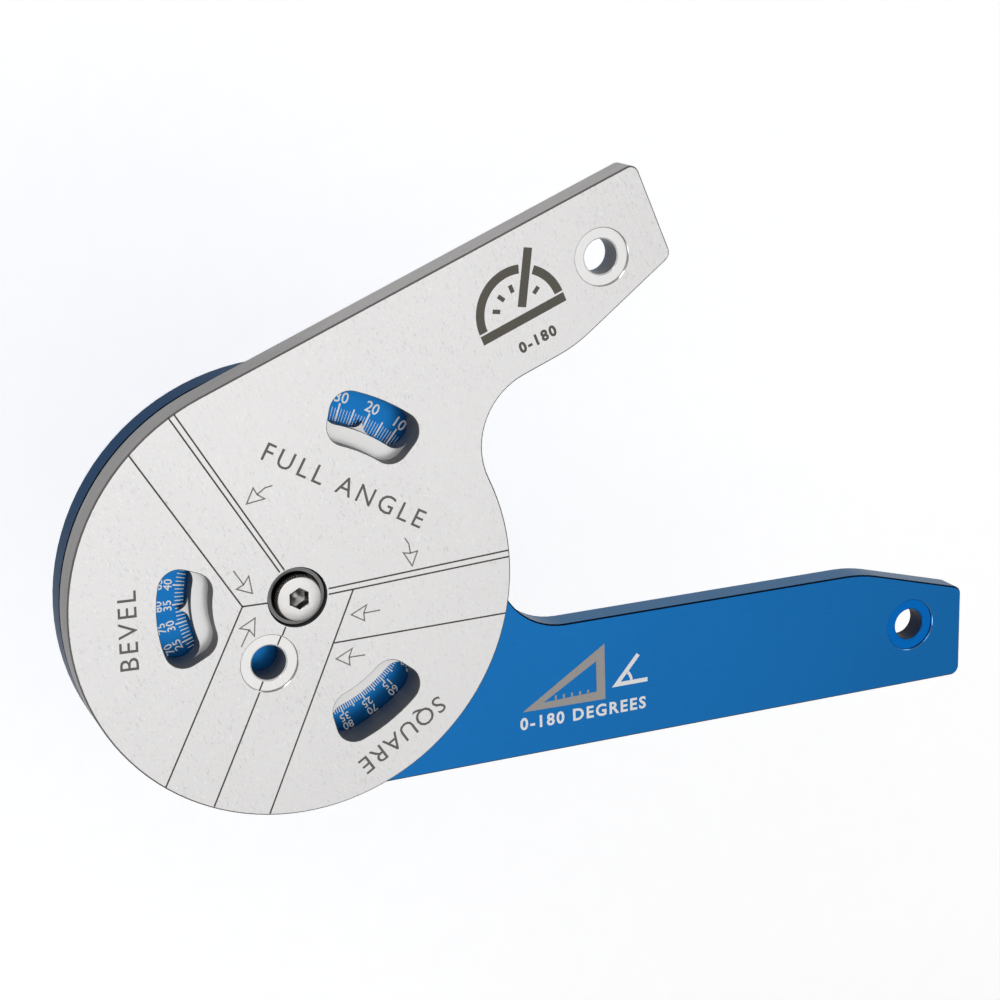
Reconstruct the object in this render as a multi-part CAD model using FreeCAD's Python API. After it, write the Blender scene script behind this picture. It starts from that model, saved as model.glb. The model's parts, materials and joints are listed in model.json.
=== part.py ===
import FreeCAD, Part

# Two-arm angle gauge: a front plate with an arm turns on a back plate with a longer arm.
# Scales on the back disc are read through three windows in the front disc.
# Millimetres.  Origin: on the pivot axis, at the back plate's underside.
# +Z is the pivot axis, towards the reading side.  +X runs along the front arm.

import math
import os

Vector = FreeCAD.Vector
UP = Vector(0, 0, 1)

# ---- driving dimensions -------------------------------------------------------------

REST_OPENING = 22.0           # degrees between the two measuring edges at rest

# plate stack, measured up from the underside
BACK_THICKNESS = 5.0
PLATE_GAP = 0.2
FRONT_THICKNESS = 5.4
FRONT_UNDERSIDE = BACK_THICKNESS + PLATE_GAP
FRONT_FACE = FRONT_UNDERSIDE + FRONT_THICKNESS

# plate outline, shared by both plates
DISC_RADIUS = 36.0
ARM_WIDTH = 22.2
FRONT_REACH = 78.6            # pivot axis to the end of the front arm
BACK_REACH = 126.2            # pivot axis to the end of the back arm
THROAT_RADIUS = 12.0          # hollow corner between the disc and the arm
TAPER_LENGTH = 20.8           # the arm's inner edge runs outwards over this length
TAPER_ANGLE = 15.2
TAPER_BLEND = 24.0            # soft bend where the taper starts
TIP_RADIUS = 1.6
EDGE_BREAK = 0.25             # small chamfer round both faces

# small round holes, each with a shallow seat
HOLE_RADIUS = 2.85
SEAT_RADIUS = 4.65
SEAT_DEPTH = 0.35
SEAT_BREAK = 0.12
HOLE_BREAK = 0.2
FRONT_HOLE_INSET = 11.1       # end of the arm to the hole's axis
BACK_HOLE_INSET = 10.6
DISC_HOLE_OFFSET = 11.3       # pivot axis to the hole in the front disc
DISC_HOLE_ANGLE = 221.0

# windows in the front disc: mid radius and direction from the pivot
WINDOWS = {"full": (29.05, 40.0), "half": (18.05, 160.0), "square": (22.8, 280.0)}
WINDOW_WIDTH = 8.6
WINDOW_HALF_LENGTH = 7.5      # along the mid radius
WINDOW_CORNER = 3.2
WINDOW_BREAK = 0.12
LEDGE_WIDTH = 2.6
LEDGE_DEPTH = 2.5             # the ledge lies this far below the front face
LEDGE_CORNER = 2.4

# reading pointer on each ledge: a sharp tongue with hollow sides and a sloping top
POINTER_LENGTH = 1.5
POINTER_HALF_WIDTH = 1.8
POINTER_ROOT_DEPTH = 4.2      # below the front face, at the ledge
POINTER_TIP_DEPTH = 4.45      # below the front face, at the tip

# pivot
WELL_RADIUS = 4.9             # counterbore round the screw head
WELL_FLOOR = FRONT_UNDERSIDE + 1.5
JOURNAL_RADIUS = 3.6
RUNNING_GAP = 0.05            # radial clearance where one piece turns in another
BUSH_RADIUS = 4.75
BUSH_STEP = 7.2
BUSH_RIM = 9.8
BUSH_BREAK = 0.15
BUSH_FOOT = BACK_THICKNESS + 0.05
HEAD_RECESS_RADIUS = 3.9
HEAD_RADIUS = 3.75
HEAD_HEIGHT = 4.0
HEAD_SEAT = 7.7
HEAD_EDGE = 0.22
SOCKET_ACROSS_FLATS = 3.0
SOCKET_DEPTH = 2.2
SOCKET_TURN = 6.0             # direction of one corner from +X, degrees
SHANK_RADIUS = 1.95
SHANK_END = 1.6
SHIM_THICKNESS = 0.2
RING_INNER = 3.7
RING_OUTER = 4.7
SPRING_STRIP = 0.16           # thickness of the disc spring's strip
FRICTION_RING_INNER = 4.2
FRICTION_RING_OUTER = 8.0
FRICTION_RING_FLOOR = 4.7
INSERT_RADIUS = 3.5
INSERT_FLANGE_RADIUS = 4.6
INSERT_FLANGE_HEIGHT = 1.0
INSERT_TOP = 4.2
SHANK_HOLE_RADIUS = 2.2

OVERCUT = 1.0                 # how far a cutting solid runs past a face


# ---- helpers ------------------------------------------------------------------------

def cylinder(radius, low, high, x=0.0, y=0.0):
    return Part.makeCylinder(radius, high - low, Vector(x, y, low))


def tube(outer, inner, low, high):
    return cylinder(outer, low, high).cut(cylinder(inner, low - OVERCUT, high + OVERCUT))


def at_angle(radius, degrees, z=0.0):
    turn = math.radians(degrees)
    return Vector(radius * math.cos(turn), radius * math.sin(turn), z)


def corner(before, at, after, radius):
    """Start, middle and end of the arc that rounds one corner of an outline."""
    to_before = (before - at).normalize()
    to_after = (after - at).normalize()
    half = to_before.getAngle(to_after) / 2
    set_back = radius / math.tan(half)
    bisector = (to_before + to_after).normalize()
    centre = at + bisector * (radius / math.sin(half))
    return at + to_before * set_back, centre - bisector * radius, at + to_after * set_back


def plate_outline(reach):
    """Disc with an arm along +X whose measuring edge is tangent to the disc at +Y."""
    inner = DISC_RADIUS - ARM_WIDTH
    throat_y = inner - THROAT_RADIUS
    throat_x = math.sqrt((DISC_RADIUS + THROAT_RADIUS) ** 2 - throat_y ** 2)
    throat = Vector(throat_x, throat_y, 0)
    throat_at_arm = Vector(throat_x, inner, 0)
    throat_at_disc = throat * (DISC_RADIUS / (DISC_RADIUS + THROAT_RADIUS))
    towards_disc = (throat_at_disc - throat).normalize()
    throat_middle = throat + (towards_disc + Vector(0, 1, 0)).normalize() * THROAT_RADIUS

    edge_start = Vector(0, DISC_RADIUS, 0)
    tip_outer = Vector(reach, DISC_RADIUS, 0)
    tip_inner_y = inner + TAPER_LENGTH * math.tan(math.radians(TAPER_ANGLE))
    tip_inner = Vector(reach, tip_inner_y, 0)
    taper_start = Vector(reach - TAPER_LENGTH, inner, 0)

    rounds = [corner(edge_start, tip_outer, tip_inner, TIP_RADIUS),
              corner(tip_outer, tip_inner, taper_start, TIP_RADIUS),
              corner(tip_inner, taper_start, throat_at_arm, TAPER_BLEND)]
    edges = []
    last = edge_start
    for start, middle, end in rounds:
        edges.append(Part.LineSegment(last, start).toShape())
        edges.append(Part.Arc(start, middle, end).toShape())
        last = end
    edges.append(Part.LineSegment(last, throat_at_arm).toShape())
    edges.append(Part.Arc(throat_at_arm, throat_middle, throat_at_disc).toShape())
    far_side = Vector(0, -DISC_RADIUS, 0)
    edges.append(Part.Arc(throat_at_disc, far_side, edge_start).toShape())
    return Part.Face(Part.Wire(edges))


def plate_blank(reach, low, high):
    """The outline as a solid with both of its face edges broken."""
    face = plate_outline(reach)
    face.translate(Vector(0, 0, low))
    solid = face.extrude(UP * (high - low))
    rims = [edge for edge in solid.Edges
            if edge.BoundBox.ZLength < 0.001]
    return solid.makeChamfer(EDGE_BREAK, rims)


def broken_edge(radius, size, x, y, mouth, inward):
    """Cone that breaks the edge where a round bore meets a face."""
    return Part.makeCone(radius + size, radius, size, Vector(x, y, mouth), UP * inward)


def seated_hole(x, y, low, high, seats):
    """Cutter for a round hole whose mouths in `seats` have a shallow seat."""
    cutter = cylinder(HOLE_RADIUS, low - OVERCUT, high + OVERCUT, x, y)
    for mouth in seats:
        inward = -1 if mouth == high else 1
        floor = mouth + inward * SEAT_DEPTH
        seat_low, seat_high = sorted((floor, mouth - inward * OVERCUT))
        cutter = cutter.fuse(cylinder(SEAT_RADIUS, seat_low, seat_high, x, y))
        cutter = cutter.fuse(broken_edge(SEAT_RADIUS, SEAT_BREAK, x, y, mouth, inward))
        cutter = cutter.fuse(broken_edge(HOLE_RADIUS, HOLE_BREAK, x, y, floor, inward))
    return cutter


def kidney(inner, outer, half_angle, inner_corner, outer_corner, low, high):
    """Ring sector with rounded corners, centred on +X."""
    a, b = at_angle(inner, -half_angle, low), at_angle(outer, -half_angle, low)
    c, d = at_angle(outer, half_angle, low), at_angle(inner, half_angle, low)
    edges = [Part.LineSegment(a, b).toShape(),
             Part.Arc(b, Vector(outer, 0, low), c).toShape(),
             Part.LineSegment(c, d).toShape(),
             Part.Arc(d, Vector(inner, 0, low), a).toShape()]
    solid = Part.Face(Part.Wire(edges)).extrude(UP * (high - low))
    for radius, reach in ((outer_corner, outer), (inner_corner, inner)):
        corners = [edge for edge in solid.Edges if edge.BoundBox.ZLength > 0.001
                   and abs(math.hypot(edge.Vertexes[0].X, edge.Vertexes[0].Y) - reach) < 0.001]
        solid = solid.makeFillet(radius, corners)
    return solid


def pointer(ledge_radius):
    """Tongue that stands out from the ledge along +X and ends in a sharp tip."""
    root = ledge_radius - 0.8
    tip = ledge_radius + POINTER_LENGTH
    top_at_root = FRONT_FACE - POINTER_ROOT_DEPTH
    top_at_tip = FRONT_FACE - POINTER_TIP_DEPTH
    side = [Vector(root, 0, FRONT_UNDERSIDE), Vector(tip, 0, FRONT_UNDERSIDE),
            Vector(tip, 0, top_at_tip), Vector(ledge_radius, 0, top_at_root),
            Vector(root, 0, top_at_root), Vector(root, 0, FRONT_UNDERSIDE)]
    tongue = Part.Face(Part.makePolygon(side)).extrude(Vector(0, 2 * POINTER_HALF_WIDTH, 0))
    tongue.translate(Vector(0, -POINTER_HALF_WIDTH, 0))
    hollow = (POINTER_HALF_WIDTH ** 2 + POINTER_LENGTH ** 2) / (2 * POINTER_LENGTH)
    for side_y in (-POINTER_HALF_WIDTH, POINTER_HALF_WIDTH):
        tongue = tongue.cut(cylinder(hollow, FRONT_UNDERSIDE - OVERCUT, FRONT_FACE,
                                     ledge_radius + hollow, side_y))
    return tongue


def cut_window(plate, mid_radius, direction):
    """Pocket down to the ledge, opening through to the scale, and the pointer."""
    inner = mid_radius - WINDOW_WIDTH / 2
    outer = mid_radius + WINDOW_WIDTH / 2
    ledge = inner + LEDGE_WIDTH
    half_angle = math.degrees(WINDOW_HALF_LENGTH / mid_radius)
    floor = FRONT_FACE - LEDGE_DEPTH
    pocket = kidney(inner, outer, half_angle, WINDOW_CORNER, WINDOW_CORNER,
                    floor, FRONT_FACE + OVERCUT)
    opening = kidney(ledge, outer, half_angle, LEDGE_CORNER, WINDOW_CORNER,
                     FRONT_UNDERSIDE - OVERCUT, FRONT_FACE)
    tongue = pointer(ledge)
    for shape in (pocket, opening, tongue):
        shape.rotate(Vector(0, 0, 0), UP, direction)
    return plate.cut(pocket).cut(opening).fuse(tongue)


def revolved(profile):
    """Solid of revolution about Z from (radius, height) points."""
    points = [Vector(r, 0, z) for r, z in profile]
    face = Part.Face(Part.makePolygon(points + points[:1]))
    return face.revolve(Vector(0, 0, 0), UP, 360)


def is_inside_disc(edge):
    """Whether an edge stays clear of the disc's own rim."""
    return all(math.hypot(v.X, v.Y) < DISC_RADIUS - 1 for v in edge.Vertexes)


# ---- pieces -------------------------------------------------------------------------

def front_plate():
    plate = plate_blank(FRONT_REACH, FRONT_UNDERSIDE, FRONT_FACE)
    for mid_radius, direction in WINDOWS.values():
        plate = cut_window(plate, mid_radius, direction)
    window_rims = [edge for edge in plate.Edges
                   if edge.BoundBox.ZMin > FRONT_FACE - 0.001
                   and is_inside_disc(edge)]
    plate = plate.makeChamfer(WINDOW_BREAK, window_rims)
    plate = plate.cut(cylinder(WELL_RADIUS, WELL_FLOOR, FRONT_FACE + OVERCUT))
    journal_bore = JOURNAL_RADIUS + RUNNING_GAP
    plate = plate.cut(cylinder(journal_bore, FRONT_UNDERSIDE - OVERCUT, FRONT_FACE))
    arm_middle = DISC_RADIUS - ARM_WIDTH / 2
    plate = plate.cut(seated_hole(FRONT_REACH - FRONT_HOLE_INSET, arm_middle,
                                  FRONT_UNDERSIDE, FRONT_FACE, (FRONT_UNDERSIDE, FRONT_FACE)))
    disc_hole = at_angle(DISC_HOLE_OFFSET, DISC_HOLE_ANGLE)
    plate = plate.cut(seated_hole(disc_hole.x, disc_hole.y,
                                  FRONT_UNDERSIDE, FRONT_FACE, (FRONT_FACE,)))
    return plate.removeSplitter()


def back_plate():
    """The same outline mirrored, so that its measuring edge faces the other way."""
    plate = plate_blank(BACK_REACH, 0.0, BACK_THICKNESS)
    arm_middle = DISC_RADIUS - ARM_WIDTH / 2
    plate = plate.cut(seated_hole(BACK_REACH - BACK_HOLE_INSET, arm_middle,
                                  0.0, BACK_THICKNESS, (0.0, BACK_THICKNESS)))
    plate = plate.mirror(Vector(0, 0, 0), Vector(0, 1, 0))
    plate = plate.cut(tube(FRICTION_RING_OUTER + RUNNING_GAP, FRICTION_RING_INNER - RUNNING_GAP,
                           FRICTION_RING_FLOOR, BACK_THICKNESS + OVERCUT))
    plate = plate.cut(cylinder(INSERT_FLANGE_RADIUS, -OVERCUT, INSERT_FLANGE_HEIGHT))
    plate = plate.cut(cylinder(INSERT_RADIUS, -OVERCUT, INSERT_TOP))
    plate = plate.cut(cylinder(SHANK_HOLE_RADIUS, -OVERCUT, BACK_THICKNESS + OVERCUT))
    plate.rotate(Vector(0, 0, 0), UP, -REST_OPENING)
    return plate


def thread_insert():
    """Flanged steel insert, closed at the back and flush with the underside."""
    body = cylinder(INSERT_RADIUS, 0.0, INSERT_TOP)
    body = body.fuse(cylinder(INSERT_FLANGE_RADIUS, 0.0, INSERT_FLANGE_HEIGHT))
    thread = cylinder(SHANK_RADIUS + RUNNING_GAP, INSERT_FLANGE_HEIGHT, INSERT_TOP + OVERCUT)
    return body.cut(thread).removeSplitter()


def pivot_bush():
    """Journal that the front plate turns on, opening into a cup for the screw head."""
    bore = SHANK_RADIUS + RUNNING_GAP
    return revolved([(bore, BUSH_FOOT), (JOURNAL_RADIUS, BUSH_FOOT), (JOURNAL_RADIUS, BUSH_STEP),
                     (BUSH_RADIUS, BUSH_STEP), (BUSH_RADIUS, BUSH_RIM - BUSH_BREAK),
                     (BUSH_RADIUS - BUSH_BREAK, BUSH_RIM),
                     (HEAD_RECESS_RADIUS + BUSH_BREAK, BUSH_RIM),
                     (HEAD_RECESS_RADIUS, BUSH_RIM - BUSH_BREAK),
                     (HEAD_RECESS_RADIUS, HEAD_SEAT), (bore, HEAD_SEAT)])


def pivot_screw():
    """Socket cap screw; its thread is drawn as a plain shank."""
    top = HEAD_SEAT + HEAD_HEIGHT
    body = revolved([(0, SHANK_END), (SHANK_RADIUS - 0.3, SHANK_END),
                     (SHANK_RADIUS, SHANK_END + 0.3), (SHANK_RADIUS, HEAD_SEAT),
                     (HEAD_RADIUS, HEAD_SEAT), (HEAD_RADIUS, top - HEAD_EDGE),
                     (HEAD_RADIUS - HEAD_EDGE, top), (0, top)])
    point_radius = SOCKET_ACROSS_FLATS / math.sqrt(3)
    points = [at_angle(point_radius, 60 * i + SOCKET_TURN, top - SOCKET_DEPTH) for i in range(6)]
    socket = Part.Face(Part.makePolygon(points + points[:1]))
    body = body.cut(socket.extrude(UP * (SOCKET_DEPTH + OVERCUT)))
    drill_point = Part.makeCone(0, SOCKET_ACROSS_FLATS / 2, 0.6,
                                Vector(0, 0, top - SOCKET_DEPTH - 0.6))
    return body.cut(drill_point)


def flat_washer():
    return tube(RING_OUTER, RING_INNER, WELL_FLOOR, WELL_FLOOR + SHIM_THICKNESS)


def disc_spring():
    """Shallow cone between the shim washer and the bush's step."""
    low = WELL_FLOOR + SHIM_THICKNESS
    high = BUSH_STEP
    return revolved([(RING_OUTER, low), (RING_OUTER, low + SPRING_STRIP),
                     (RING_INNER, high), (RING_INNER, high - SPRING_STRIP)])


def friction_ring():
    return tube(FRICTION_RING_OUTER, FRICTION_RING_INNER,
                FRICTION_RING_FLOOR, FRONT_UNDERSIDE)


PIECES = (front_plate, back_plate, thread_insert, pivot_bush, pivot_screw,
          flat_washer, disc_spring, friction_ring)

os.makedirs("parts", exist_ok=True)
for piece in PIECES:
    shape = piece()
    if not shape.isValid() or len(shape.Solids) != 1:
        raise ValueError(piece.__name__ + " is not one valid solid")
    shape.exportStep("parts/" + piece.__name__ + ".step")
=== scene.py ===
import json
import math

import bmesh
import bpy
from mathutils import Matrix, Vector


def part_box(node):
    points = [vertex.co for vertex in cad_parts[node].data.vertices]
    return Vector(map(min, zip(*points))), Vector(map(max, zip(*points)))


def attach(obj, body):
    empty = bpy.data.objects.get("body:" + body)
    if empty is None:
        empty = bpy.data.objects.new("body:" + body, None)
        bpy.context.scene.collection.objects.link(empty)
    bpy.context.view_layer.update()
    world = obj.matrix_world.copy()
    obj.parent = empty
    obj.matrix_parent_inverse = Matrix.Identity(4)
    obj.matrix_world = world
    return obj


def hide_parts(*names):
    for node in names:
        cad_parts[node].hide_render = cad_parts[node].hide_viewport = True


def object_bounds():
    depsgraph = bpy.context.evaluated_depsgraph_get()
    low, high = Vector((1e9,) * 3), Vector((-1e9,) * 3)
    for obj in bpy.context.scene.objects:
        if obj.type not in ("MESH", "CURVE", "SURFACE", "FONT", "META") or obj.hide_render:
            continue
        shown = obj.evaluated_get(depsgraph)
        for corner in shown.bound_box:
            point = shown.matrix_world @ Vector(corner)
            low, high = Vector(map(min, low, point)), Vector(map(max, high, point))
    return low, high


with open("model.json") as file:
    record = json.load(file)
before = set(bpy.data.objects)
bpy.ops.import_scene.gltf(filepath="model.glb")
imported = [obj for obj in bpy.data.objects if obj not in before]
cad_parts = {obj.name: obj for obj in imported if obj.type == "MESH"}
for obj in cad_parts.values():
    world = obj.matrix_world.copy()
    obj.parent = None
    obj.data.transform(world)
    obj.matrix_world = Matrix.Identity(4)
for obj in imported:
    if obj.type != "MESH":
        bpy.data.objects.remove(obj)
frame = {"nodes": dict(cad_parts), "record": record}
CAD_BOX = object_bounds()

MM = 0.001


# ---- what the frame gives -----------------------------------------------------------

MOUNTS = {m["name"]: m for m in frame["record"]["mounts"]}
FRONT_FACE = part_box("front_plate")[1].z / MM
BACK_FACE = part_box("back_plate")[1].z / MM
SHANK_END, HEAD_TOP = (corner.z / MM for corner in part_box("pivot_screw"))
HEAD_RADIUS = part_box("pivot_screw")[1].x / MM
DISC_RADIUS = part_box("front_plate")[1].y / MM
BACK_EDGE_NORMAL = MOUNTS["back_measuring_edge"]["axis"]
OPENING = math.degrees(math.atan2(-BACK_EDGE_NORMAL[0], -BACK_EDGE_NORMAL[1]))
DISC_HOLE, FRONT_ARM_HOLE, BACK_ARM_HOLE = (
    Vector(MOUNTS[name]["pos_m"][:2]) / MM
    for name in ("disc_hole", "front_arm_hole", "back_arm_hole"))
SEAT_RADIUS = 4.8             # shallow seat round each small hole, its broken edge included
SEAT_DEPTH = 0.35


def new_object(name, data):
    """Puts an object with this data into the scene."""
    item = bpy.data.objects.new(name, data)
    bpy.context.scene.collection.objects.link(item)
    return item


# ---- node helpers -------------------------------------------------------------------

class Nodes:
    """A new material with short calls for the nodes that it needs."""

    def __init__(self, name, metallic, specular=0.5):
        self.material = bpy.data.materials.new(name)
        self.material.use_nodes = True
        self.tree = self.material.node_tree
        self.shader = self.tree.nodes["Principled BSDF"]
        self.shader.inputs["Metallic"].default_value = metallic
        self.shader.inputs["Specular IOR Level"].default_value = specular
        self.where = self.tree.nodes.new("ShaderNodeTexCoord").outputs["Object"]

    def link(self, source, target):
        self.tree.links.new(source, target)

    def stretched(self, sizes_mm, turn=0.0):
        """Object coordinates turned about Z and divided by the sizes of a feature."""
        turned = self.tree.nodes.new("ShaderNodeVectorRotate")
        turned.rotation_type = "Z_AXIS"
        turned.inputs["Angle"].default_value = math.radians(turn)
        self.link(self.where, turned.inputs["Vector"])
        scaled = self.tree.nodes.new("ShaderNodeVectorMath")
        scaled.operation = "MULTIPLY"
        scaled.inputs[1].default_value = [1 / (s * MM) for s in sizes_mm]
        self.link(turned.outputs[0], scaled.inputs[0])
        return scaled.outputs[0]

    def noise(self, sizes_mm, turn=0.0, detail=2.0, rough=0.5):
        texture = self.tree.nodes.new("ShaderNodeTexNoise")
        texture.inputs["Scale"].default_value = 1.0
        texture.inputs["Detail"].default_value = detail
        texture.inputs["Roughness"].default_value = rough
        self.link(self.stretched(sizes_mm, turn), texture.inputs["Vector"])
        return texture.outputs["Fac"]

    def math(self, kind, a, b=None, c=None):
        node = self.tree.nodes.new("ShaderNodeMath")
        node.operation = kind
        for value, socket in zip((a, b, c), node.inputs):
            if isinstance(value, (int, float)):
                socket.default_value = value
            elif value is not None:
                self.link(value, socket)
        return node.outputs[0]

    def product(self, *shares):
        """All the shares multiplied together."""
        result = shares[0]
        for share in shares[1:]:
            result = self.math("MULTIPLY", result, share)
        return result

    def outside(self, share):
        """1 where a share is 0, and 0 where it is 1."""
        return self.math("SUBTRACT", 1, share)

    def ramp(self, value, low, high, out_low=0.0, out_high=1.0):
        """Number that goes evenly from one output to the other, and stays there beyond."""
        node = self.tree.nodes.new("ShaderNodeMapRange")
        self.link(value, node.inputs["Value"])
        for key, number in (("From Min", low), ("From Max", high),
                            ("To Min", out_low), ("To Max", out_high)):
            node.inputs[key].default_value = number
        return node.outputs[0]

    def spread(self, noise, out_low=0.0, out_high=1.0):
        """Ramp over the middle range, which holds nearly all of a noise."""
        return self.ramp(noise, 0.3, 0.7, out_low, out_high)

    def mix(self, share, a, b):
        """Colour or number between a and b."""
        node = self.tree.nodes.new("ShaderNodeMix")
        colour = isinstance(a, tuple) or not isinstance(a, (int, float)) and a.type == "RGBA"
        node.data_type = "RGBA" if colour else "FLOAT"
        inputs = [s for s in node.inputs if s.enabled]
        self.link(share, inputs[0])
        for value, socket in ((a, inputs[1]), (b, inputs[2])):
            if isinstance(value, tuple):
                socket.default_value = (*value, 1)
            elif isinstance(value, (int, float)):
                socket.default_value = value
            else:
                self.link(value, socket)
        return [s for s in node.outputs if s.enabled][0]

    def height(self):
        """Height along the pivot axis in metres."""
        parts = self.tree.nodes.new("ShaderNodeSeparateXYZ")
        self.link(self.where, parts.inputs[0])
        return parts.outputs["Z"]

    def from_axis(self, at=(0, 0)):
        """Distance from the pivot axis, or from a line beside it, in metres."""
        flat = self.tree.nodes.new("ShaderNodeVectorMath")
        flat.operation = "MULTIPLY_ADD"
        flat.inputs[1].default_value = (1, 1, 0)
        flat.inputs[2].default_value = (-at[0] * MM, -at[1] * MM, 0)
        self.link(self.where, flat.inputs[0])
        length = self.tree.nodes.new("ShaderNodeVectorMath")
        length.operation = "LENGTH"
        self.link(flat.outputs[0], length.inputs[0])
        return length.outputs["Value"]

    def within(self, radius_mm, at=(0, 0), fade_mm=0.05):
        """0 outside a circle, rising to 1 over the fading width."""
        return self.ramp(self.from_axis(at), radius_mm * MM, (radius_mm - fade_mm) * MM)

    def within_any(self, circles):
        """1 inside any circle, each a radius and its centre unless that is the pivot."""
        inside = 0
        for circle in circles:
            inside = self.math("MAXIMUM", inside, self.within(*circle))
        return inside

    def upright(self):
        """0 on faces that look along the pivot axis, 1 on walls; 0.29 on a 45 degree edge."""
        geometry = self.tree.nodes.new("ShaderNodeNewGeometry")
        parts = self.tree.nodes.new("ShaderNodeSeparateXYZ")
        self.link(geometry.outputs["True Normal"], parts.inputs[0])
        return self.outside(self.math("ABSOLUTE", parts.outputs["Z"]))

    def is_side(self):
        """1 on walls, and 0 on faces and broken edges."""
        return self.ramp(self.upright(), 0.35, 0.45)

    def bump(self, height, strength, depth_mm):
        node = self.tree.nodes.new("ShaderNodeBump")
        node.inputs["Strength"].default_value = strength
        node.inputs["Distance"].default_value = depth_mm * MM
        self.link(height, node.inputs["Height"])
        self.link(node.outputs[0], self.shader.inputs["Normal"])

    def colour(self, value):
        self.link(value, self.shader.inputs["Base Color"])

    def roughness(self, value):
        self.link(value, self.shader.inputs["Roughness"])


def shade(colour, factor):
    return tuple(c * factor for c in colour)


def brushed(n, colour, grain, grain_turn, contrast):
    """Streaks of a brushed face, its colour and the height of its relief."""
    streaks = n.noise(grain, grain_turn, detail=3, rough=0.65)
    flecks = n.noise([g * k for g, k in zip(grain, (1.3, 0.5, 1))], grain_turn + 3, detail=3,
                     rough=0.7)
    glints = n.noise([g * k for g, k in zip(grain, (1.1, 0.35, 1))], grain_turn - 4, detail=2)
    cloud = n.noise((18, 26, 18), grain_turn, detail=2)
    tone = n.mix(n.spread(streaks), shade(colour, 1 - contrast), shade(colour, 1 + contrast))
    tone = n.mix(n.ramp(flecks, 0.58, 0.66, 0.0, 0.8), tone, shade(colour, 1 - 3.0 * contrast))
    tone = n.mix(n.ramp(glints, 0.62, 0.7, 0.0, 0.8), tone, shade(colour, 1 + 2.0 * contrast))
    tone = n.mix(n.ramp(cloud, 0.35, 0.65, 0.0, 0.5), tone, shade(colour, 1.04))
    return streaks, tone, n.math("MULTIPLY_ADD", flecks, 0.5, streaks)


def milled(n, cutter, colour):
    """Colour of a wall with cutter lines along it."""
    return n.mix(n.spread(cutter), shade(colour, 0.8), shade(colour, 1.15))


def plate_finish(name, z_face, face, seat, glint, edge, shaded_side, rim, pocket_shade, shaded_pockets, seats,
                 grain, grain_turn, contrast, roughness, coat):
    """Anodised plate: brushed `face`, smooth turned `seat`s, milled walls with cutter lines,
    whose colours are painted shade, darker than the face: `shaded_side` on the arm and `rim`,
    darker still, on the disc. Walls within the circles `shaded_pockets` are matt and painted
    with shade that runs from the first `pocket_shade` colour at the bottom to the other at
    the face; on the silver plate the first is a painted bluish reflection of the blue plate.
    Broken edges are a painted highlight, `glint`, at the mouths of the seats and a painted dark
    line, `edge`, elsewhere. The arm's walls may have a clear `coat`. A circle is a radius and,
    unless it is round the pivot, its centre."""
    n = Nodes(name, metallic=1.0)
    height = n.height()

    def by_depth(zero_at, one_at):
        """Share from 0 at one depth below the face to 1 at another, both in mm."""
        return n.ramp(height, (z_face - zero_at) * MM, (z_face - one_at) * MM)

    # where a point is: below the face, in a seat or in a hollow whose walls get painted shade, on
    # the disc or the arm
    sunk = by_depth(0.1, 0.2)
    in_seat = n.within_any(seats)
    seat_wall = n.product(in_seat, by_depth(SEAT_DEPTH + 0.04, SEAT_DEPTH))
    in_shaded_pocket = n.product(n.within_any(shaded_pockets), n.outside(seat_wall))
    in_disc = n.within(DISC_RADIUS + 8, fade_mm=7.5)

    # what it is on: broken edges outside the seats, which get a painted dark line, or at their
    # mouths, which get a painted highlight, or a bare outer wall
    upright = n.upright()
    on_side = n.is_side()
    tilted = n.ramp(upright, 0.1, 0.15)
    broken = n.product(tilted, n.ramp(upright, 0.45, 0.4))
    outer = n.product(broken, n.outside(in_seat))
    mouth = n.product(broken, in_seat, n.outside(sunk))
    bare = n.product(on_side, n.outside(in_shaded_pocket))

    streaks, brushed_face, relief = brushed(n, face, grain, grain_turn, contrast)
    cutter = n.noise((9, 9, 0.09), detail=2)
    # painted shade: the walls are darker copies of the face colour, darker still on the disc's rim
    wall = n.mix(in_disc, milled(n, cutter, shaded_side), milled(n, cutter, rim))
    # painted shade on the walls of the hollows, bluish at the bottom on the silver plate as a
    # painted reflection of the blue plate
    wall = n.mix(in_shaded_pocket, wall, n.mix(by_depth(4.5, 0), *pocket_shade))
    colour = n.mix(on_side, n.mix(sunk, brushed_face, seat), wall)
    # painted dark line on the broken edges outside the seats and painted highlight at the seats'
    # mouths
    n.colour(n.mix(outer, n.mix(mouth, colour, glint), edge))

    # outer edges and the walls of the shaded hollows are matt, and the windows' ledges a little
    # dull
    ledge = n.product(by_depth(0.9, 1.0), n.outside(bare))
    matt = n.math("MAXIMUM", outer, n.product(tilted, in_shaded_pocket, sunk))
    dull = n.math("MAXIMUM", n.product(matt, 0.9), n.product(ledge, 0.35))
    n.link(n.outside(dull), n.shader.inputs["Metallic"])
    n.link(n.math("MULTIPLY_ADD", matt, -0.46, 0.5), n.shader.inputs["Specular IOR Level"])
    n.shader.inputs["Specular Tint"].default_value = (0.55, 0.55, 0.55, 1)
    if coat:
        n.link(n.product(bare, n.outside(in_disc), coat), n.shader.inputs["Coat Weight"])
        n.shader.inputs["Coat Roughness"].default_value = 0.2

    face_rough = n.spread(streaks, roughness - 0.05, roughness + 0.06)
    face_rough = n.mix(sunk, face_rough, n.spread(streaks, 0.3, 0.36))
    wall_rough = n.spread(cutter, 0.26, 0.4)
    n.roughness(n.mix(mouth, n.mix(on_side, face_rough, wall_rough), 0.22))
    n.bump(n.mix(on_side, n.product(relief, n.outside(sunk)), cutter), 0.25, 0.01)
    return n.material


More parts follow.
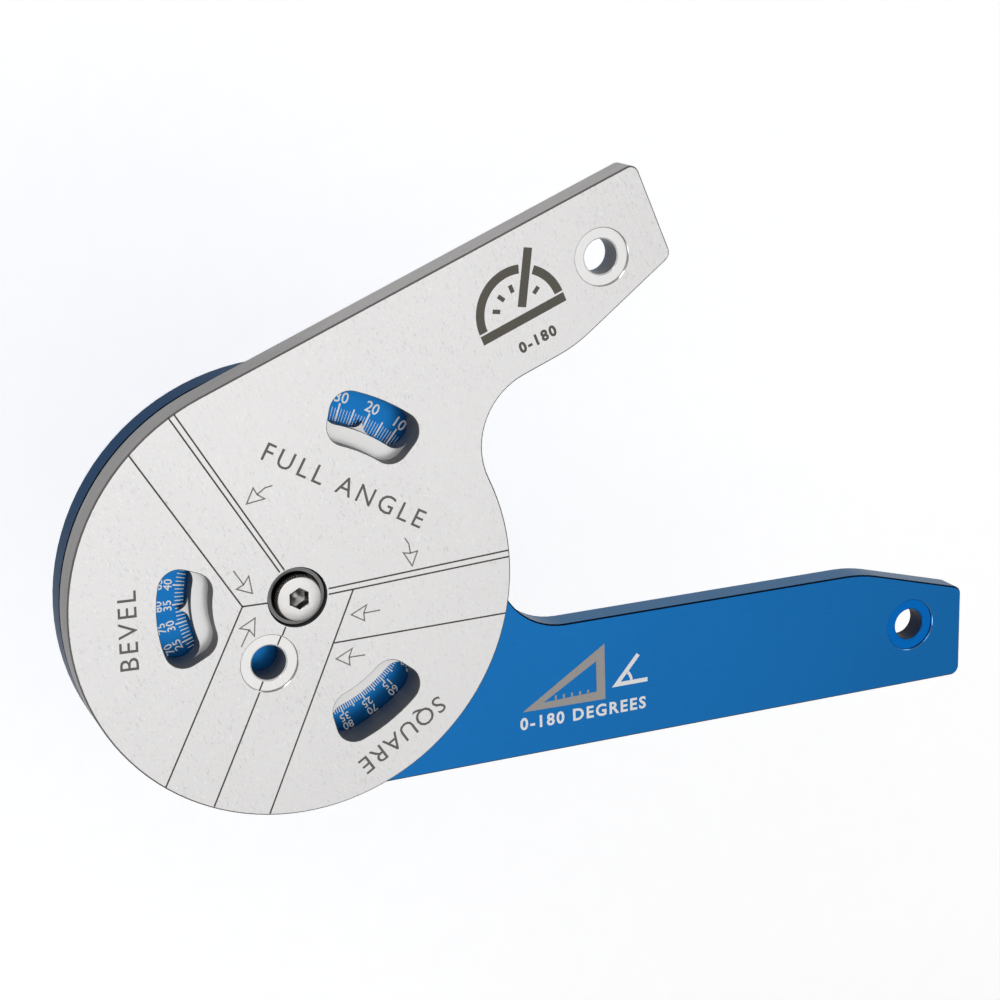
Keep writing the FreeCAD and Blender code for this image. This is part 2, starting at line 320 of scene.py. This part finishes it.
def turned_steel(name, colour, roughness, shaded_side=None, socket=None):
    """Lathe-turned metal: fine rings round the pivot axis and along it.
    `shaded_side` is the colour of upright walls and `socket` of the hexagon's inside, both painted
    shade darker than the turned metal."""
    ring_width = 0.12 * MM
    n = Nodes(name, metallic=1.0)
    height = n.height()
    axis_distance = n.from_axis()
    rings = n.tree.nodes.new("ShaderNodeTexNoise")
    rings.noise_dimensions = "1D"
    rings.inputs["Scale"].default_value = 1 / ring_width
    rings.inputs["Detail"].default_value = 2
    n.link(n.math("ADD", axis_distance, height), rings.inputs["W"])
    smudge = n.noise((1.2, 1.2, 1.2), detail=3)
    tone = n.math("MULTIPLY_ADD", smudge, 0.6, rings.outputs["Fac"])
    metal = n.mix(n.ramp(tone, 0.5, 1.1), shade(colour, 0.88), shade(colour, 1.08))
    # painted shade on the upright walls
    if shaded_side:
        metal = n.mix(n.is_side(), metal, shaded_side)
    # painted shade inside the hexagon socket
    if socket:
        low = n.ramp(height, HEAD_TOP * MM, (HEAD_TOP - 0.4) * MM)
        near = n.within(2.1, fade_mm=0.2)
        metal = n.mix(n.product(low, near), metal, socket)
    n.colour(metal)
    n.roughness(n.ramp(tone, 0.5, 1.1, roughness - 0.05, roughness + 0.08))
    tangent = n.tree.nodes.new("ShaderNodeTangent")
    tangent.direction_type = "RADIAL"
    tangent.axis = "Z"
    n.link(tangent.outputs[0], n.shader.inputs["Tangent"])
    n.shader.inputs["Anisotropic"].default_value = 0.6
    n.bump(rings.outputs["Fac"], 0.15, 0.004)
    return n.material


def marking(name, colour, speckle_mm, contrast, bare=0.0):
    """Laser marking: matt, with a fine uneven speckle; `bare` metal shines through it."""
    n = Nodes(name, metallic=bare, specular=0.3)
    grains = n.noise((speckle_mm,) * 3, detail=3, rough=0.7)
    n.colour(n.mix(n.spread(grains), shade(colour, 1 - contrast), shade(colour, 1 + contrast)))
    n.roughness(n.spread(grains, 0.5 - 0.15 * bare, 0.7 - 0.3 * bare))
    n.bump(grains, 0.3, 0.01)
    return n.material


def plastic(name, colour):
    n = Nodes(name, metallic=0.0)
    grains = n.noise((0.2, 0.2, 0.2), detail=3)
    n.colour(n.mix(n.spread(grains), shade(colour, 0.9), shade(colour, 1.05)))
    n.roughness(n.spread(grains, 0.4, 0.6))
    n.bump(grains, 0.2, 0.01)
    return n.material


FINISH = {
    # the plates' edge, shaded_side, rim and pocket_shade colours are painted shade, the silver's
    # first pocket_shade colour a painted bluish reflection, and glint a painted highlight
    "silver_anodised": plate_finish(
        "silver_anodised", z_face=FRONT_FACE,
        face=(0.93, 0.919, 0.916), seat=(0.9, 0.89, 0.885), glint=(0.95, 0.95, 0.95),
        edge=(0.17, 0.165, 0.16), shaded_side=(0.455, 0.443, 0.438), rim=(0.345, 0.336, 0.332),
        pocket_shade=((0.12, 0.145, 0.19), (0.185, 0.18, 0.175)),
        shaded_pockets=((DISC_RADIUS - 1.2,), (SEAT_RADIUS, FRONT_ARM_HOLE)),
        seats=((SEAT_RADIUS, DISC_HOLE), (SEAT_RADIUS, FRONT_ARM_HOLE)),
        grain=(0.25, 1.9, 1.0), grain_turn=0, contrast=0.08, roughness=0.42, coat=0.0),
    "blue_anodised": plate_finish(
        "blue_anodised", z_face=BACK_FACE,
        face=(0.014, 0.182, 0.52), seat=(0.004, 0.18, 0.64), glint=(0.2, 0.5, 0.9),
        edge=(0.001, 0.008, 0.025), shaded_side=(0.028, 0.13, 0.28), rim=(0.004, 0.047, 0.125),
        pocket_shade=((0.03, 0.03, 0.04), (0.01, 0.03, 0.075)),
        shaded_pockets=((SEAT_RADIUS, BACK_ARM_HOLE),), seats=((SEAT_RADIUS, BACK_ARM_HOLE),),
        grain=(2.6, 0.2, 1.0), grain_turn=OPENING, contrast=0.07, roughness=0.32, coat=0.15),
    "insert_steel": turned_steel("insert_steel", (0.55, 0.56, 0.57), roughness=0.3),
    # the steels' shaded_side and socket colours are painted shade
    "bush_steel": turned_steel("bush_steel", (0.2, 0.2, 0.2), roughness=0.3,
                               shaded_side=(0.03, 0.03, 0.03)),
    "screw_steel": turned_steel("screw_steel", (0.82, 0.80, 0.785), roughness=0.25,
                                shaded_side=(0.22, 0.215, 0.21), socket=(0.36, 0.35, 0.34)),
    "washer_steel": turned_steel("washer_steel", (0.6, 0.6, 0.6), roughness=0.25),
    "spring_steel": turned_steel("spring_steel", (0.3, 0.29, 0.28), roughness=0.3),
    "friction_polymer": plastic("friction_polymer", (0.9, 0.9, 0.87)),
    "dark_engraving": marking("dark_engraving", (0.085, 0.082, 0.078), speckle_mm=0.12,
                              contrast=0.25),
    "olive_engraving": marking("olive_engraving", (0.135, 0.125, 0.105), speckle_mm=0.14,
                               contrast=0.3),
    "word_engraving": marking("word_engraving", (0.175, 0.168, 0.155), speckle_mm=0.12,
                              contrast=0.25),
    "light_engraving": marking("light_engraving", (0.28, 0.275, 0.265), speckle_mm=0.12,
                               contrast=0.2),
    "white_engraving": marking("white_engraving", (0.96, 0.96, 0.965), speckle_mm=0.12,
                               contrast=0.035, bare=0.7),
    "grey_engraving": marking("grey_engraving", (0.43, 0.41, 0.395), speckle_mm=0.12,
                              contrast=0.12),
}


def finish_frame_nodes():
    """Gives every frame node the finish of its own slot in the record."""
    for part in frame["record"]["subparts"]:
        mesh = frame["nodes"][part["node"]].data
        mesh.materials.clear()
        mesh.materials.append(FINISH[part["material_slot"]])


# ---- thin marks on a face -----------------------------------------------------------

LINE_WIDTH = 0.26
ARROW_WIDTH = 0.22
LINE_START = 5.0              # a line from the pivot starts at this radius
HOLE_RADIUS = MOUNTS["disc_hole"]["dims"]["r_mm"]
SUNK = 0.012                  # a mark starts this far below the face, in mm
PROUD = 0.012                 # and stands this far above it


class Marks:
    """One mesh of thin closed solids that lie on a plate's face; sizes are in mm."""

    def __init__(self, name, body, slot, finish, face, turn=0.0):
        self.name, self.body, self.slot, self.finish = name, body, slot, finish
        self.low, self.high = face - SUNK, face + PROUD
        self.turn = Matrix.Rotation(math.radians(turn), 4, "Z")
        self.mesh = bmesh.new()

    def slab(self, outline):
        """Closed solid under one outline of (x, y) points, in either direction."""
        area = sum(a[0] * b[1] - b[0] * a[1] for a, b in zip(outline, outline[1:] + outline[:1]))
        points = outline if area > 0 else outline[::-1]
        low = [self.mesh.verts.new((x, y, self.low)) for x, y in points]
        high = [self.mesh.verts.new((x, y, self.high)) for x, y in points]
        self.mesh.faces.new(high)
        self.mesh.faces.new(low[::-1])
        for i in range(len(points)):
            j = (i + 1) % len(points)
            self.mesh.faces.new((low[i], low[j], high[j], high[i]))

    def ribbon(self, path, width, closed=False):
        """Line of even width along a path, with mitred corners."""
        pts = [Vector(p) for p in path]
        count = len(pts)
        left, right = [], []
        for i, p in enumerate(pts):
            before = pts[i - 1] if i or closed else None
            after = pts[(i + 1) % count] if i + 1 < count or closed else None
            ways = [(b - a).normalized() for a, b in ((before, p), (p, after))
                    if a is not None and b is not None]
            along = sum(ways, Vector((0, 0))).normalized()
            across = Vector((-along.y, along.x))
            spread = max(0.4, abs(across.dot(Vector((-ways[0].y, ways[0].x)))))
            left.append(p + across * (width / 2 / spread))
            right.append(p - across * (width / 2 / spread))
        rings = [[self.mesh.verts.new((*q, z)) for q, z in
                  ((l, self.high), (r, self.high), (r, self.low), (l, self.low))]
                 for l, r in zip(left, right)]
        pairs = list(zip(rings, rings[1:]))
        if closed:
            pairs.append((rings[-1], rings[0]))
        for a, b in pairs:
            for i in range(4):
                j = (i + 1) % 4
                self.mesh.faces.new((a[i], a[j], b[j], b[i]))
        if not closed:
            self.mesh.faces.new(rings[0][::-1])
            self.mesh.faces.new(rings[-1])

    def text(self, words, at, height, turn=0.0, weight=0.0, spacing=1.0):
        """Lettering centred on a point, as tall as `height` in its capitals."""
        points, faces = lettering(words, height, weight, spacing)
        move = Matrix.Translation((*at, 0)) @ Matrix.Rotation(math.radians(turn), 4, "Z")
        verts = []
        for x, y, is_top in points:
            spot = move @ Vector((x, y, 0))
            verts.append(self.mesh.verts.new((spot.x, spot.y,
                                              self.high if is_top else self.low)))
        for face in faces:
            self.mesh.faces.new([verts[i] for i in face])

    def make(self):
        """Turns the marks into one piece that rides on its body."""
        bmesh.ops.recalc_face_normals(self.mesh, faces=self.mesh.faces)
        self.mesh.transform(Matrix.Scale(MM, 4) @ self.turn)
        data = bpy.data.meshes.new(self.name)
        self.mesh.to_mesh(data)
        self.mesh.free()
        data.materials.append(FINISH[self.finish])
        piece = new_object(self.name, data)
        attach(piece, self.body)


CAP_HEIGHT = 0.73             # height of a capital in the built-in typeface at size 1
LETTERS = {}                  # words made so far, because the scales repeat them


def lettering(words, height, weight, spacing):
    """Thin solids of a word centred on the origin: (x, y, is it on top) in mm, and faces."""
    key = (words, height, weight, spacing)
    if key not in LETTERS:
        curve = bpy.data.curves.new("letters", "FONT")
        curve.body = words
        curve.size = 1.0
        curve.resolution_u = 3
        curve.extrude = 0.5
        curve.offset = weight
        curve.space_character = spacing
        holder = new_object("letters", curve)
        bpy.context.view_layer.update()
        data = bpy.data.meshes.new_from_object(
            holder.evaluated_get(bpy.context.evaluated_depsgraph_get()))
        bm = bmesh.new()
        bm.from_mesh(data)
        bmesh.ops.remove_doubles(bm, verts=bm.verts, dist=1e-5)
        bm.verts.ensure_lookup_table()
        scale = height / CAP_HEIGHT
        xs = [v.co.x for v in bm.verts]
        middle_x, middle_y = (min(xs) + max(xs)) / 2, CAP_HEIGHT / 2
        points = [((v.co.x - middle_x) * scale, (v.co.y - middle_y) * scale, v.co.z > 0)
                  for v in bm.verts]
        LETTERS[key] = points, [[v.index for v in f.verts] for f in bm.faces]
        bm.free()
        bpy.data.objects.remove(holder)
    return LETTERS[key]


def on_circle(radius, degrees, centre=(0.0, 0.0)):
    turn = math.radians(degrees)
    return (centre[0] + radius * math.cos(turn), centre[1] + radius * math.sin(turn))


def arc(radius, start, end, steps, centre=(0.0, 0.0)):
    return [on_circle(radius, start + (end - start) * i / steps, centre)
            for i in range(steps + 1)]


# ---- marks on the front plate -------------------------------------------------------

def guide_lines():
    """Lines that show which edge each window reads against."""
    marks = Marks("guide_lines", "front_arm", "dark_engraving", "dark_engraving", FRONT_FACE)
    elbow, fork, foot = (-8.3, 3.2), (8.45, -3.55), (2.0, -9.9)
    for path in (((-0.75, 5.1), (-5.43, 35.6)), ((0.05, 5.0), (-4.43, 35.6)),
                 ((5.0, -1.35), (34.0, -11.14)), ((4.6, -2.2), (33.6, -12.14)),
                 ((-13.2, 33.4), elbow, (-31.6, -16.86)), (elbow, (-4.6, 1.65)),
                 (fork, (-19.3, -30.07)), (foot, (29.3, -20.6))):
        marks.ribbon(path, LINE_WIDTH)
    marks.make()


def hole_line():
    """Line from the pivot to the rim that crosses the seat of the small hole in the disc."""
    direction = math.degrees(math.atan2(DISC_HOLE.y, DISC_HOLE.x)) + 1.2
    middle = DISC_HOLE.length
    rim = DISC_RADIUS - 0.3
    hole_edge = HOLE_RADIUS + 0.25
    seat_edge = SEAT_RADIUS - 0.15
    for name, face, stretches in (
            ("hole_line", FRONT_FACE,
             ((LINE_START, middle - SEAT_RADIUS), (middle + SEAT_RADIUS, rim))),
            ("hole_line_in_seat", FRONT_FACE - SEAT_DEPTH,
             ((middle - seat_edge, middle - hole_edge),
              (middle + hole_edge, middle + seat_edge)))):
        marks = Marks(name, "front_arm", "dark_engraving", "dark_engraving", face)
        for near, far in stretches:
            marks.ribbon([on_circle(near, direction), on_circle(far, direction)], LINE_WIDTH)
        marks.make()


def arrows():
    """Outlined arrows that point at the guide lines."""
    marks = Marks("arrows", "front_arm", "dark_engraving", "light_engraving", FRONT_FACE)
    for tip, barb, other, notch, tail in (
            ((-0.65, 17.6), (1.35, 19.35), (2.2, 16.9), (1.45, 18.1), ((3.0, 18.45), (4.2, 18.15))),
            ((18.6, -5.1), (18.2, -2.4), (20.4, -3.3), (19.2, -3.05), ((19.6, -1.5), (19.4, -0.3))),
            ((-6.0, 4.3), (-7.9, 6.2), (-5.3, 7.1), (-6.6, 6.3), ((-7.05, 9.1),)),
            ((-7.35, 0.5), (-10.2, 0.25), (-8.7, -2.1), (-9.0, -0.75), ((-11.3, -2.6),)),
            ((6.4, -7.15), (9.3, -7.0), (7.9, -9.2), (8.3, -8.0), ((10.9, -8.95),)),
            ((1.15, -12.45), (4.2, -12.3), (2.7, -14.6), (3.1, -13.35), ((5.6, -14.4),))):
        marks.ribbon([tip, barb, notch, other], ARROW_WIDTH, closed=True)
        marks.ribbon([notch, *tail], ARROW_WIDTH)
    marks.make()


def front_words():
    """What each window's scale is for, in plain words along its own direction."""
    marks = Marks("front_words", "front_arm", "dark_engraving", "word_engraving", FRONT_FACE)
    for words, start, end, stretch in (("FULL ANGLE", (5.8, 23.4), (23.1, 1.2), 1.3),
                                       ("BEVEL", (-27.8, 3.8), (-23.2, 14.2), 1.2),
                                       ("SQUARE", (12.0, -29.0), (-1.2, -31.4), 1.1)):
        middle = (Vector(start) + Vector(end)) / 2
        along = Vector(end) - Vector(start)
        turn = math.degrees(math.atan2(along.y, along.x))
        marks.text(words, middle, height=3.1, turn=turn, weight=0.001, spacing=stretch)
    marks.make()


def front_emblem():
    """Plain protractor sign with the range it reads."""
    marks = Marks("front_emblem", "front_arm", "dark_engraving", "olive_engraving", FRONT_FACE)
    centre = Vector((51.6, 23.2))
    outer, band = 7.7, 1.45
    for start, end in ((0, 50), (70, 180)):
        marks.slab([*arc(outer, start, end, 24, centre),
                    *arc(outer - band, end, start, 24, centre)])
    left, right = centre.x - outer, centre.x + outer
    top, bottom = centre.y - 0.3, centre.y - 1.8
    marks.slab([(left, bottom), (right, bottom), (right, top), (left, top)])
    for direction in (30, 90, 120, 150):
        marks.ribbon([on_circle(3.6, direction, centre), on_circle(4.9, direction, centre)], 0.7)
    needle = 60
    marks.ribbon([on_circle(0.9, needle, centre), on_circle(outer + 2.6, needle, centre)], band)
    marks.text("0-180", (centre.x + 0.8, 18.1), height=1.75, weight=0.045, spacing=1.25)
    marks.make()


def back_emblem():
    """Plain set square and angle sign on the back arm, in that arm's own directions."""
    grey = Marks("set_square", "back_arm", "white_engraving", "grey_engraving", BACK_FACE,
                 -OPENING)
    left, right, base, top = 41.6, 54.2, -27.6, -19.9
    grey.ribbon([(left, base), (right, base), (right, top)], 1.6, closed=True)
    for i in range(5):
        x = left + 4.2 + 1.5 * i
        grey.ribbon([(x, base + 0.7), (x, base + 1.4)], 0.35)
    grey.make()
    white = Marks("angle_sign", "back_arm", "white_engraving", "white_engraving", BACK_FACE,
                  -OPENING)
    corner = (57.1, -26.2)
    white.ribbon([(63.0, -26.2), corner, (61.3, -21.4)], 0.75)
    white.ribbon(arc(2.9, 8, 42, 8, corner), 0.5)
    white.text("0-180 DEGREES", (50.9, -30.2), height=2.15, weight=0.028, spacing=1.22)
    white.make()


# ---- scales on the back disc --------------------------------------------------------

def scale_ring(name, start, step, count, inner, ticks, rows):
    """Ring of ticks every `step` degrees from the direction `start`. `ticks` holds the outer
    radius and the width of the ticks at the tens, at the fives and in between. `rows` holds
    the radius and height of each row of numbers, and the number for a turn in degrees."""
    marks = Marks(name, "back_arm", "white_engraving", "white_engraving", BACK_FACE, -OPENING)
    for i in range(count):
        value = i * step
        kind = 0 if value % 10 == 0 else 1 if value % 5 == 0 else 2
        outer, width = ticks[kind]
        direction = start + value
        marks.ribbon([on_circle(inner, direction), on_circle(outer, direction)], width)
        if kind == 0:
            for radius, height, number in rows:
                marks.text(str(round(number(value))), on_circle(radius, direction), height,
                           turn=direction - 90, weight=0.012)
    marks.make()


def scales():
    """The three windows' scales. The first is numbered with the turn, up to 180 both ways. The
    others have two rows each, for how far a turn is from 45 and from 90 degrees: half of the
    turn on the second scale, and all of it on the third."""
    scale_ring("full_scale", start=40, step=1, count=360, inner=27.5,
               ticks=((30.4, 0.30), (30.1, 0.26), (29.6, 0.085)),
               rows=((31.45, 1.8, lambda turn: min(turn, 360 - turn)),))
    scale_ring("half_scale", start=160, step=2, count=91, inner=16.7,
               ticks=((18.5, 0.25), (18.1, 0.15), (18.1, 0.15)),
               rows=((19.35, 1.35, lambda turn: abs(45 - turn / 2)),
                     (20.85, 1.35, lambda turn: 90 - turn / 2)))
    scale_ring("square_scale", start=280, step=1, count=181, inner=22.4,
               ticks=((24.2, 0.24), (24.0, 0.22), (23.6, 0.16)),
               rows=((24.85, 1.35, lambda turn: abs(45 - turn)),
                     (26.4, 1.35, lambda turn: abs(90 - turn))))


# ---- pivot screw --------------------------------------------------------------------

TEETH = 54                    # ridges of the knurl round the screw's head
PER_TOOTH = 4                 # corners of the mesh for each ridge
KNURL_DEPTH = 0.16
SOCKET = 3.0                  # across the hexagon's flats
SOCKET_DEPTH = 2.2
SOCKET_TURN = 6.0             # direction of one corner from +X, in degrees
HEAD_HEIGHT = 4.0
SHANK_RADIUS = 1.95


def hexagon(apothem):
    """Radius, at an angle, of a hexagon that is this far from its middle to each flat."""
    return lambda degrees: apothem / math.cos(math.radians((degrees - SOCKET_TURN) % 60 - 30))


def knurled(radius):
    """Radius, at an angle, of a head with straight ridges."""
    def at(degrees):
        share = abs((degrees * TEETH / 360) % 1 - 0.5) * 2
        return radius - KNURL_DEPTH * min(1.0, share * 1.4)
    return at


def knurled_screw():
    """Socket cap screw with a straight knurl, a rounded top edge and a drilled hexagon."""
    count = TEETH * PER_TOOTH
    seat = HEAD_TOP - HEAD_HEIGHT
    knurl_top = HEAD_TOP - 0.5
    flat = SOCKET / 2
    floor_z = HEAD_TOP - SOCKET_DEPTH
    rings = [
        # shank, with its end chamfered
        (SHANK_RADIUS - 0.3, SHANK_END), (SHANK_RADIUS, SHANK_END + 0.3), (SHANK_RADIUS, seat),
        # head: chamfer, knurl and rounded top edge
        (HEAD_RADIUS - 0.3, seat), (HEAD_RADIUS - 0.16, seat + 0.14),
        (knurled(HEAD_RADIUS), seat + 0.3), (knurled(HEAD_RADIUS), knurl_top),
        (HEAD_RADIUS - 0.15, knurl_top + 0.16), (HEAD_RADIUS - 0.18, HEAD_TOP - 0.14),
        (HEAD_RADIUS - 0.24, HEAD_TOP - 0.05), (HEAD_RADIUS - 0.36, HEAD_TOP),
        # socket: chamfered hexagon with a drilled floor
        (hexagon(flat + 0.14), HEAD_TOP), (hexagon(flat), HEAD_TOP - 0.12),
        (hexagon(flat), floor_z), (flat - 0.1, floor_z - 0.05), (0.7, floor_z - 0.5)]
    bm = bmesh.new()
    loops = []
    for radius, z in rings:
        loop = []
        for i in range(count):
            degrees = 360 * i / count
            r = radius(degrees) if callable(radius) else radius
            loop.append(bm.verts.new((*[c * MM for c in on_circle(r, degrees)], z * MM)))
        loops.append(loop)
    for low, high in zip(loops, loops[1:]):
        for i in range(count):
            j = (i + 1) % count
            bm.faces.new((low[i], low[j], high[j], high[i]))
    bottom = bm.verts.new((0, 0, SHANK_END * MM))
    tip = bm.verts.new((0, 0, (floor_z - 0.9) * MM))
    for i in range(count):
        j = (i + 1) % count
        bm.faces.new((bottom, loops[0][j], loops[0][i]))
        bm.faces.new((loops[-1][i], loops[-1][j], tip))
    data = bpy.data.meshes.new("knurled_screw")
    bm.to_mesh(data)
    bm.free()
    data.materials.append(FINISH["screw_steel"])
    data.polygons.foreach_set("use_smooth", [True] * len(data.polygons))
    data.set_sharp_from_angle(angle=math.radians(28))
    screw = new_object("knurled_screw", data)
    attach(screw, "tension_screw")
    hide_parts("pivot_screw")


# ---- stage --------------------------------------------------------------------------

TARGET = Vector((36.8, -3.9, 8.0)) * MM      # the camera and the lights look at this point


def floor():
    """Pale sheet well below the gauge, which glows a little so that shadows stay faint."""
    reach, drop, glow = 12000 * MM, 120 * MM, 0.41
    bm = bmesh.new()
    bm.faces.new([bm.verts.new((x * reach, y * reach, CAD_BOX[0].z - drop))
                  for x, y in ((-1, -1), (1, -1), (1, 1), (-1, 1))])
    data = bpy.data.meshes.new("floor")
    bm.to_mesh(data)
    bm.free()
    n = Nodes("floor", metallic=0.0, specular=0.1)
    paper = n.noise((6, 6, 6), detail=3)
    n.colour(n.mix(n.spread(paper), (0.93, 0.93, 0.93), (0.95, 0.95, 0.95)))
    n.shader.inputs["Roughness"].default_value = 0.9
    n.shader.inputs["Emission Color"].default_value = (1, 1, 1, 1)
    n.shader.inputs["Emission Strength"].default_value = glow
    data.materials.append(n.material)
    new_object("floor", data)


def light(name, towards, distance_mm, size_mm, watts):
    """Round soft light in a direction from the gauge, aimed at it."""
    data = bpy.data.lights.new(name, "AREA")
    data.shape = "DISK"
    data.size = size_mm * MM
    data.energy = watts
    lamp = new_object(name, data)
    way = Vector(towards).normalized()
    lamp.location = TARGET + way * (distance_mm * MM)
    lamp.rotation_euler = (-way).to_track_quat("-Z", "Y").to_euler()


def studio():
    """Pale surroundings that darken away from a direction near straight up, one wide soft
    light above and three small ones round the gauge."""
    world = bpy.data.worlds.new("studio")
    world.use_nodes = True
    tree = world.node_tree
    sky = tree.nodes["Background"]
    sky.inputs["Color"].default_value = (1, 1, 1, 1)
    where = tree.nodes.new("ShaderNodeTexCoord")
    lean = tree.nodes.new("ShaderNodeVectorMath")
    lean.operation = "DOT_PRODUCT"
    lean.inputs[1].default_value = (0.10, -0.17, 0.98)
    tree.links.new(where.outputs["Generated"], lean.inputs[0])
    rise = tree.nodes.new("ShaderNodeMapRange")
    rise.interpolation_type = "SMOOTHSTEP"
    for key, number in (("From Min", 0.75), ("From Max", 1.0),
                        ("To Min", 0.25), ("To Max", 1.1)):
        rise.inputs[key].default_value = number
    tree.links.new(lean.outputs["Value"], rise.inputs["Value"])
    tree.links.new(rise.outputs[0], sky.inputs["Strength"])
    bpy.context.scene.world = world
    light("fill", (-0.15, 0.45, 0.9), distance_mm=1500, size_mm=1200, watts=3.0)
    light("left", (-0.85, -0.05, 0.5), distance_mm=1100, size_mm=500, watts=1.0)
    light("right", (0.88, 0.25, 0.42), distance_mm=1100, size_mm=500, watts=1.0)
    light("back", (-0.23, 0.87, 0.45), distance_mm=1100, size_mm=320, watts=1.1)
    bpy.context.scene.view_settings.view_transform = "Standard"


def camera():
    """Looks down on the gauge, turned so that the front arm points up to the right."""
    distance = 359 * MM
    azimuth, elevation, roll = (math.radians(a) for a in (-148.64, 62.97, 121.68))
    back = Vector((math.sin(azimuth) * math.cos(elevation),
                   -math.cos(azimuth) * math.cos(elevation), math.sin(elevation)))
    data = bpy.data.cameras.new("camera")
    data.sensor_width = 36
    data.lens = 80.25
    data.clip_start, data.clip_end = 0.01, 20
    eye = new_object("camera", data)
    turned = (-back).to_track_quat("-Z", "Y").to_matrix() @ Matrix.Rotation(roll, 3, "Z")
    eye.matrix_world = Matrix.Translation(TARGET + back * distance) @ turned.to_4x4()
    bpy.context.scene.camera = eye


# ---- the whole scene ----------------------------------------------------------------

finish_frame_nodes()
knurled_screw()
guide_lines()
hole_line()
arrows()
front_words()
front_emblem()
back_emblem()
scales()
floor()
studio()
camera()
